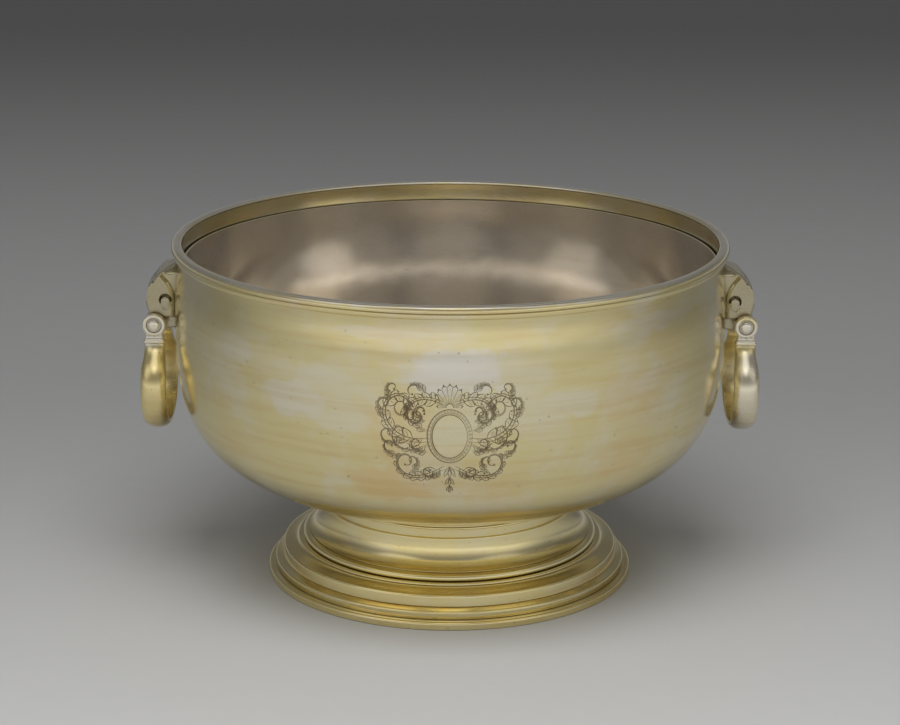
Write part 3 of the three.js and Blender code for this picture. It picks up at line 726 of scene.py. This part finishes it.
# Sprigs fill the spaces
sprigs = [
    (26.5 + 1.2j, -52, 27, 3.5, 30, -1), (37.5 + 11.5j, 12, 21, 8, 34, -1), (24 - 20.5j, 155, 16, -6, -42, 1),
    (13.6 - 7.5j, -18, 17, 5, 36, -1), (14.2 + 9.5j, 8, 14, 7, 44, -1), (14.5 + 24.5j, 62, 17, -5, -34, 1),
    (12.8 - 3.5j, -34, 36, 2.2, 16, -1), (6 - 19j, -66, 19, 6, 40, -1), (13.4 + 4j, 14, 25, 4, 26, -1),
    (30 - 10j, -20, 20, 6, 36, -1), (21 + 19j, -20, 17, -6, -40, 1), (34 + 21j, 40, 15, 6, 46, -1),
]


def cutFoliage():
    cuts = []
    for *line, side, thick, leaves in scrolls:
        stem = cutStem(cuts, *line, side=side, thick=thick)
        for leafRow in leaves:
            cutLeaves(cuts, stem, *leafRow)
    for *line, side in sprigs:
        stem = cutStem(cuts, *line, wide=0.42, side=side, thick=1.0)
        cutLeaves(cuts, stem, side, 0.05, 0.6, 4, 3.4, 0.34)
        cutLeaves(cuts, stem, -side, 0.15, 0.4, 2, 2.2, 0.3)
    return cuts


def cutCartouche():
    half = cutFoliage()
    cuts = half + [([complex(-p.real, p.imag) for p in line], wide) for line, wide in half]
    # A plain oval shield with a beaded frame
    rx, ry = engraving["shield"]
    cuts += [(oval(0.5j, rx + grow, ry + grow, 72), wide) for grow, wide in ((0, 0.65), (0.9, 0.3), (2.9, 0.5))]
    cuts += [(oval(bead, 0.6, 0.6, 6), 0.28) for bead in oval(0.5j, rx + 1.9, ry + 1.9, 40, 0.5)[:-1]]
    # A shell above it
    hinge = 17j
    for i in range(-5, 6):
        angle = 90 - i * 17
        size = 13.5 - 0.22 * i * i
        root, tip = hinge + polar(2.2, angle), hinge + polar(size, angle)
        left, right = hinge + polar(size * 0.86, angle + 8), hinge + polar(size * 0.86, angle - 8)
        cuts += [([root, left], 0.4), ([root, right], 0.4)]
        cuts += [(bow(left, tip, -0.3, 5), 0.5), (bow(tip, right, -0.3, 5), 0.5)]
        for lean in (-2.6, 2.6):
            line = [hinge + polar(size * 0.45, angle + lean * 0.7), hinge + polar(size * 0.8, angle + lean)]
            cuts.append((line, 0.2))
    cuts.append(([hinge + polar(2.2, a) for a in range(-10, 191, 20)], 0.5))
    # Husks hang below it
    top = -17.2j
    for size in (7.4, 6.0, 4.6):
        for lean in (-28, 0, 28):
            tip = top + polar(size, lean - 90)
            cuts += [(bow(top, tip, 0.26), 0.42), (bow(top, tip, -0.26), 0.42)]
            cuts.append(([top + (tip - top) * 0.3, top + (tip - top) * 0.85], 0.22))
        top -= 1j * size * 0.93
    return cuts + [(oval(top, 0.8, 0.8, 8), 0.4)]


def makeCuttingTree():
    tree, inputs = startTree("cutOnWall", {
        "Wall": "Object", "Middle Height": "Float", "Bend Radius": "Float", "Lift": "Float"})
    flat = shapeNode(tree, "SetCurveNormal", {"Curve": curveOf(inputs["Geometry"])}, mode="Z_UP")[0]
    across = shapeNode(tree, "CurvePrimitiveLine", {"Start": (-0.5, 0, 0), "End": (0.5, 0, 0)})[0]
    width = shapeNode(tree, "InputNamedAttribute", {"Name": "width"}, data_type="FLOAT")[0]
    strip = shapeNode(tree, "CurveToMesh", {"Curve": flat, "Profile Curve": across, "Scale": width})
    # Lay the flat strips on the wall: across is an angle, up is a length along the wall's outline
    at = splitUp(shapeNode(tree, "InputPosition")[0])
    wall = shapeOf(inputs["Wall"])
    upTo = maths("ADD", at["Y"], inputs["Middle Height"])
    sample = shapeNode(tree, "SampleCurve", {"Curves": curveOf(wall), "Length": upTo}, mode="LENGTH")
    on, way = splitUp(sample["Position"]), splitUp(sample["Tangent"])
    radius = times(way["Z"], inputs["Lift"], on["X"])
    height = maths("SUBTRACT", on["Z"], times(way["X"], inputs["Lift"]))
    angle = maths("DIVIDE", at["X"], inputs["Bend Radius"])
    forward = times(times(radius, maths("COSINE", angle)), -1.0)
    place = addNode(tree, "ShaderNodeCombineXYZ", {
        0: times(radius, maths("SINE", angle)), 1: forward, 2: height})[0]
    laid = shapeNode(tree, "SetPosition", {"Geometry": strip[0], "Position": place})
    return finishTree(tree, inputs, laid[0])


def cutOnWall(name, cuts, face):
    corners, edges, widths = [], [], []
    for line, wide in cuts:
        n = len(line) - 1
        edges += [(len(corners) + a, len(corners) + b) for a, b in chainOf(n + 1, False)]
        corners += [(p.real, p.imag * engraving["stretch"], 0) for p in line]
        widths += [wide * mm * (0.4 + 0.75 * math.sin(math.pi * i / n)) for i in range(n + 1)]
    made = meshObject(name, corners, edges)
    made.data.attributes.new("width", "FLOAT", "POINT").data.foreach_set("value", widths)
    wall = meshObject(name + "Wall", [(p.x, 0, p.y) for p in face], chainOf(len(face), False))
    middle = float(np.interp(engraving["height"], [p.y for p in face], lengthsAlong(face)))
    runTree(made, makeCuttingTree(), {
        "Wall": wall, "Middle Height": middle * mm, "Bend Radius": bellyRadius * mm,
        "Lift": engraving["lift"] * mm, "Sharp Angle": 1.0, "Material": metals["engravedLines"]})
    bpy.data.objects.remove(wall)
    return made


cartouche = cutOnWall("engravedCartouche", cutCartouche(), outerFace)
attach(cartouche, "bowl")
print("cartouche engraved:", len(cartouche.data.polygons), "faces")

# Brackets, handles and pins are made on the right side and turned over for the left
pivot = {"standoff": 12.3, "belowRim": 53.5}
bracket = {
    "belowRim": 15.5, "halfWidth": 18.7, "edge": 1.5, "overhang": 5.7, "barrel": 6.6, "tipAbove": 3.6,
    "leafInset": 1.6, "boss": 3.1, "bossIn": 7.2, "bossUp": 14.5, "groove": 1.7, "grooveWide": 2.3, "rooted": 2.6,
    "crown": 8, "webInset": 8, "spacing": 0.6, "sharp": 50,
}
pin = {"radius": 3, "head": 3.45, "headThickness": 1.3, "recess": 4.95, "recessDepth": 1, "sharp": 40}
handle = {
    "eye": 7.4, "eyeThickness": 5.4, "eyeInner": 19.4, "neckHalf": 6, "collarDrop": 9.6, "collarHeight": 2.6,
    "collarHalf": 6.1, "collarThick": 1.95, "collarTurn": 0.9, "collarWire": 1.1, "coreHalf": 5.7,
    "grooveBelow": 0.7, "width": 82.6, "drop": 72.9, "bandHalf": 8.25, "bandThickness": 5.4, "bandDome": 2.5,
    "bandBevel": 0.9, "endScale": 0.82, "shoulder": 0.13, "spacing": 1.1, "eyeSpacing": 0.42, "sharp": 40,
}
pivotX = bellyRadius + pivot["standoff"]
pivotZ = rimTop - pivot["belowRim"]
eyeMiddle = handle["eyeInner"] + handle["eyeThickness"] / 2


def bracketOutline():
    top = rimTop - bracket["belowRim"]
    reach = pivotX + bracket["overhang"]
    belly = pivotZ + 17.5
    tip = pivotZ + bracket["tipAbove"]
    wall = wallRadius(tip)
    neck = bowl["neckRadius"]
    outline = traceLine((neck - bracket["rooted"], top), [
        (neck + 1.5, top), (neck + 9, top - 2.9, reach - 0.2, top - 8.4, reach, belly),
        (reach, belly - 4.5, reach - 1.3, belly - 8.2, pivotX + 2.8, pivotZ + 5), (pivotX - 2, pivotZ + 3.4),
        (pivotX - 6.4, tip + 0.2, wall + 1.6, tip + 0.6), (wall - bracket["rooted"], tip),
    ], fine=16)
    outline += [Vector((wallRadius(z) - bracket["rooted"], z)) for z in np.linspace(tip, top, 18)[1:-1]]
    return [p - Vector((pivotX, pivotZ)) for p in outline]


# The volute's inner edge: everything on its wall side is the narrower leaf
leafEdge = np.array(traceLine((-2.6, 45), [
    (-2.6, 38, -3.4, 34, -6.4, 30), (-11.2, 25.6, -12.3, 18), (-12.7, 12, -12.9, -2)], fine=14))


def bracketHalf(points, depth):
    x, z = points.T
    half, boss = bracket["halfWidth"], bracket["boss"]
    inwards = np.interp(z, leafEdge[::-1, 1], leafEdge[::-1, 0]) - x
    height = half - bracket["leafInset"] * blend(-0.7, 1.1, inwards) - 0.5 * blend(0.8, 8, inwards)
    height -= 0.7 * (1 - blend(0, 2.6, -inwards)) * (inwards < 0)
    # A boss with a groove round its upper side
    u = (x + bracket["bossIn"]) / boss
    v = (z - bracket["bossUp"]) / np.where(z > bracket["bossUp"], boss, boss * 1.8)
    reach = np.hypot(u, v)
    angle = np.degrees(np.arctan2(v, u))
    hollow = bracket["grooveWide"] * np.sin(np.radians(np.clip((angle + 20) * 180 / 220, 0, 180)))
    away = (reach - 1) * boss
    cut = blend(-0.15, 0.3, away) * (1 - blend(hollow * 0.4, np.maximum(hollow, 0.05), away))
    height -= bracket["groove"] * cut * (hollow > 0.15)
    height += 0.5 * np.sqrt(np.clip(1 - reach ** 2, 0, 1))
    # The top is crowned from side to side, most of all beside the wall
    belowTop = rimTop - bracket["belowRim"] - pivotZ - z
    nearWall = blend(0.5, -6, x)
    below = depth * (1 - nearWall) + belowTop * nearWall
    sag = 0.8 + bracket["crown"] * blend(4, -11, x)
    radius = (half ** 2 + sag ** 2) / (2 * sag)
    fall = np.clip(below / sag, 0, 1) * sag
    crown = np.sqrt(np.maximum(radius ** 2 - (radius - fall) ** 2, 0)) + 1.2
    height = np.where((below < sag) & (z > 14), np.minimum(height, crown), height)
    return roundedEdge(height, depth, np.minimum(bracket["edge"], height * 0.8))


toPivot = Matrix.Translation((pivotX * mm, 0, pivotZ * mm))
alongY = Matrix.Rotation(math.pi / 2, 4, "X")


def ringProfile(inner, outer, low, high, edge):
    return traceLine((inner, low), [
        (outer - edge, low), (outer, low, outer, low + edge), (outer, high - edge),
        (outer, high, outer - edge, high), (inner, high),
    ])


def webHalf(points, depth):
    return roundedEdge(bracket["halfWidth"] - bracket["webInset"], depth, 1.2)


def makeBracket():
    half = bracket["halfWidth"]
    plate = castPlate("bracketPlate", [bracketOutline()], bracketHalf, bracket["spacing"], bracket["edge"], 14)
    barrel = ringProfile(pin["radius"] + gap, bracket["barrel"], -half, half, 0.8)
    barrel = turnedAbout(turned("bracketBarrel", barrel, "giltBrackets", 72), alongY)
    root = wallRadius(pivotZ) - bracket["rooted"] - pivotX
    webOutline = traceLine((root, 5), [
        (-5, 5), (-3.9, -3), (-6, -6.2, -9, -5.2), (-11, -4.6, root + 1.5, -5.4), (root, -5.4)], fine=8)
    web = castPlate("bracketWeb", [webOutline], webHalf, 0.8, 1.2, 10)
    return smoothed(turnedAbout(joined("bracketRight", [plate, barrel, web]), toPivot), bracket["sharp"])


def eyeHalf(points, depth):
    x, z = points.T
    reach = np.hypot(x, z)
    half = handle["eyeThickness"] / 2
    height = roundedEdge(half, depth, 1.0)
    ridge = 0.5 * ((reach - 5.9) / 1.5) ** 2
    height = np.where(reach < 7.2, np.minimum(height, half - np.clip(ridge, 0, 0.5)), height)
    scoop = np.exp(-((z + 7.7) / 1.2) ** 2) * (z < 0)
    height -= 0.6 * scoop * blend(5.6, 7.0, reach)
    height = np.where(reach < pin["recess"] + 0.3, half - 0.15, height)
    return height - pin["recessDepth"] * (1 - blend(pin["recess"] - 0.45, pin["recess"] + 0.05, reach))


def eyeOutline():
    neck = math.degrees(math.asin(handle["neckHalf"] / handle["eye"]) - 0.12)
    arc = arcLine(handle["eye"], neck - 90, 90, 30)
    line = mirrored(traceLine((6.6, -handle["collarDrop"] - 0.8), [(5.3, -7.6, *arc[0])]) + arc[1:])
    return line[-1:] + line[:-1]


def bandSection():
    inside, crown = -handle["bandThickness"] / 2, handle["bandThickness"] / 2
    dome, bevel, half = handle["bandDome"], handle["bandBevel"], handle["bandHalf"]
    edge, face = crown - dome, half - bevel
    right = traceLine((half - 1, inside), [
        (half, inside, half, inside + 1), (half - bevel * 0.3, edge - 0.5, face, edge),
        (face * 0.8, crown - dome * 0.35, face * 0.45, crown - dome * 0.14),
        (0, crown + dome * 0.14, -face * 0.45, crown - dome * 0.14),
    ], fine=6)[:-3]
    # A path's own section axis points into the loop
    section = [Vector((p.x, -p.y)) for p in mirrored(right)]
    return section[-1:] + section[:-1]


def loopPath():
    side = (handle["width"] - handle["bandThickness"]) / 2
    low = -handle["drop"] + handle["bandThickness"] / 2
    start = -handle["collarDrop"] - handle["collarHeight"] - handle["grooveBelow"] + 0.2
    wide = low + (start - low) * 0.5
    half = traceLine((eyeMiddle, start), [
        (eyeMiddle + 1.5, start - 9, side, wide + 17, side, wide), (side, wide - 18, side * 0.56, low, 0, low),
    ], fine=48)
    return [(0, p.x, p.y) for p in spaceOut(mirrored(half), handle["spacing"])]


def collarPath(middle, level):
    turn = handle["collarTurn"]
    across, thick = handle["collarHalf"] - turn, handle["collarThick"] - turn
    corners = ((across, thick), (-across, thick), (-across, -thick), (across, -thick))
    arcs = [arcLine(turn, 90 * i, 90 * i + 90, 6, (x, y + middle)) for i, (x, y) in enumerate(corners)]
    return [(p.x, p.y, level) for arc in arcs for p in arc]


def makeHandle():
    parts = [swept("handleBand", loopPath(), bandSection(), False, handle["endScale"], handle["shoulder"])]
    level = -handle["collarDrop"] - handle["collarHeight"] / 2
    wire = circleLine(handle["collarWire"], 18)
    coreX, coreY = handle["coreHalf"], 1.9
    core = [Vector(xy) for xy in ((-coreX, -coreY), (coreX, -coreY), (coreX, coreY), (-coreX, coreY))]
    for middle in (-eyeMiddle, eyeMiddle):
        loops = [eyeOutline(), circleLine(pin["radius"] + gap)]
        eye = castPlate("handleEye", loops, eyeHalf, handle["eyeSpacing"], 0.7, 8)
        parts.append(turnedAbout(eye, Matrix.Translation((0, middle * mm, 0))))
        line = [(0, middle, level + 1.5 - 0.5 * i) for i in range(9)]
        path = collarPath(middle, level)
        parts.append(swept("handleCollar", path, wire, closed=True, side=(0, 0, 1)))
        parts.append(swept("handleCore", line, core))
    return smoothed(turnedAbout(joined("handleRight", parts), toPivot), handle["sharp"])


def makePin():
    headBase = handle["eyeInner"] + handle["eyeThickness"] - pin["recessDepth"] + gap
    end = headBase + pin["headThickness"]
    head = traceLine((0, end), [
        (2.0, end - 0.02, pin["head"] - 0.8, end - 0.34), (pin["head"], end - 0.6, pin["head"], end - 1.0),
        (pin["head"], headBase), (pin["radius"], headBase),
    ])
    profile = head + [Vector((p.x, -p.y)) for p in reversed(head)]
    made = turned("hingePinRight", profile, "palePins", 72, closed=False)
    return smoothed(turnedAbout(made, toPivot @ alongY), pin["sharp"])


def finishAs(made, finish):
    made.data.materials.clear()
    made.data.materials.append(metals[finish])


def standPair(right, node, finish, rightBody="bowl", leftBody="bowl"):
    finishAs(right, finish)
    left = newObject(right.name.replace("Right", "Left"), right.data.copy())
    turnedAbout(left, Matrix.Rotation(math.pi, 4, "Z"))
    standFor(right, node + "_right", rightBody)
    standFor(left, node + "_left", leftBody)


bracketRight, pinRight, handleRight = makeBracket(), makePin(), makeHandle()
standPair(bracketRight, "bracket", "giltBrackets")
standPair(pinRight, "hinge_pin", "palePins")
standPair(handleRight, "handle", "giltCastings", "right_handle", "left_handle")
print("brackets, pins and handles made")

# Washers and nuts seat on the liner, in line with each stud
stud = {"radius": 1.75, "belowRim": 20, "washer": 4.3, "washerThick": 0.9, "flats": 6, "nutThick": 3.2}


studZ = rimTop - stud["belowRim"]
washerFace = math.sqrt((wallRadius(studZ) - linerInside) ** 2 - stud["washer"] ** 2)
nutFace = washerFace - stud["washerThick"]


def ringsOnStuds(node, radius, low, high, edge, steps):
    profile = ringProfile(stud["radius"] + gap, radius, low, high, edge)
    made = turned(node + "Right", profile, "silverFixings", steps, sharp=0.4)
    turnedAbout(made, Matrix.Translation((0, 0, studZ * mm)) @ Matrix.Rotation(math.pi / 2, 4, "Y"))
    standPair(made, node, "silverFixings")


ringsOnStuds("stud_washer", stud["washer"], nutFace, washerFace, 0.2, 48)
ringsOnStuds("stud_nut", stud["flats"] / math.sqrt(3), nutFace - stud["nutThick"], nutFace, 0.45, 6)
for side in ("right", "left"):
    finishAs(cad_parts[f"bracket_stud_{side}"], "silverFixings")
print("fixings made")

# Metres, watts and degrees. A panel is a turn from the camera's side towards the right, a height, an inner and an
# outer angle, and a brightness
stage = {
    # The floor's near, middle and far numbers scale painted light and shade in its colour
    "floor": (0.92, 0.92, 0.913), "floorReach": 7, "floorNear": 0.76, "floorMiddle": 0.5, "floorFar": 0.35,
    "floorLamp": 23, "lampPlace": (0, -0.9, 2.0), "lampAim": (0, -0.3, 0), "lampSize": (1.6, 1.2),
    "even": 0.24, "low": 0.5, "lowFront": 0.21, "sides": 0.5,
    "panels": [
        (0, 74, 8, 22, 0.9), (-42, 56, 5, 16, 0.2), (0, 56, 5, 14, 0.7), (42, 56, 5, 16, 0.1),
        (-50, 42, 10, 24, 0.45), (50, 42, 10, 24, 0.3), (-90, 42, 10, 30, 0.1), (90, 42, 10, 30, 0.08),
        (180, 52, 10, 30, 0.2),
    ],
}
view = {"lens": 100.44, "sensor": 36, "place": (0, -1.5845, 0.5936), "down": 15.97, "roll": 0.225}


def makeFloor():
    reach = stage["floorReach"]
    corners = [(-reach, -reach, 0), (reach, -reach, 0), (reach, reach, 0), (-reach, reach, 0)]
    floor = meshObject("floor", corners, faces=[(0, 1, 2, 3)], scale=1)
    material, tree, place = newMaterial("paleFloor")
    # Painted light and shade in the floor's colour: paler far in front, for the metal to mirror, and darker under
    # and behind the bowl and further back
    away = splitUp(place)["Y"]
    shade = times(between(away, -0.6, 0.5, 1.0, stage["floorMiddle"]),
                  between(away, 0.4, 2.6, 1.0, stage["floorFar"]))
    shade = times(shade, between(away, -1.4, -0.7, 1.0, stage["floorNear"]))
    # Painted light: far off its colour turns pale again, to meet the light of the sky at the horizon
    shade = maths("MAXIMUM", shade, between(vectorMaths("LENGTH", place), 3.2, 6.5))
    dark = times(shade, -1.0, 0.99)
    dark = times(noiseAt(place, 60.0), 0.02, dark)
    colour = mixColour(dark, stage["floor"], (0, 0, 0))
    plugIn(tree.nodes["Principled BSDF"], {"Base Color": colour, "Roughness": 0.75})
    floor.data.materials.append(material)


def standing(name, data, place, turn):
    made = newObject(name, data)
    made.location = place
    made.rotation_mode = "QUATERNION"
    made.rotation_quaternion = turn
    return made


def makeLamp():
    data = bpy.data.lights.new("floorLamp", "AREA")
    data.shape = "RECTANGLE"
    data.size, data.size_y = stage["lampSize"]
    data.energy = stage["floorLamp"]
    aim = (Vector(stage["lampAim"]) - Vector(stage["lampPlace"])).to_track_quat("-Z", "Y")
    lamp = standing("floorLamp", data, stage["lampPlace"], aim)
    lamp.visible_glossy = False  # it lights the floor, and the metal mirrors the soft sky instead


def makeWorld():
    world = bpy.data.worlds.new("studio")
    bpy.context.scene.world = world
    world.use_nodes = True
    direction = addNode(world.node_tree, "ShaderNodeTexCoord")["Generated"]
    parts = splitUp(direction)
    light = maths("ADD", between(parts["Z"], -0.05, 0.35, stage["low"], 0.0), stage["even"])
    light = times(light, between(parts["Y"], -0.55, 0.1, 1.0, stage["sides"]))
    front = between(parts["Y"], -0.8, -0.2, stage["lowFront"], 0.0)
    light = maths("ADD", light, times(front, between(parts["Z"], 0.2, 0.5, 1.0, 0.0)))
    for panel in stage["panels"]:
        turn, height, inner, outer = (math.radians(angle) for angle in panel[:4])
        aim = (math.sin(turn) * math.cos(height), -math.cos(turn) * math.cos(height), math.sin(height))
        facing = vectorMaths("DOT_PRODUCT", direction, aim)
        light = maths("ADD", light, between(facing, math.cos(outer), math.cos(inner), 0.0, panel[4]))
    plugIn(world.node_tree.nodes["Background"], {"Color": light})


def makeCamera():
    data = bpy.data.cameras.new("camera")
    data.lens = view["lens"]
    data.sensor_width = view["sensor"]
    tilt = Matrix.Rotation(math.radians(90 - view["down"]), 4, "X")
    tilt = tilt @ Matrix.Rotation(math.radians(view["roll"]), 4, "Z")
    bpy.context.scene.camera = standing("camera", data, view["place"], tilt.to_quaternion())


makeFloor()
makeWorld()
makeLamp()
makeCamera()
bpy.context.scene.view_settings.view_transform = "Standard"
print("stage set")
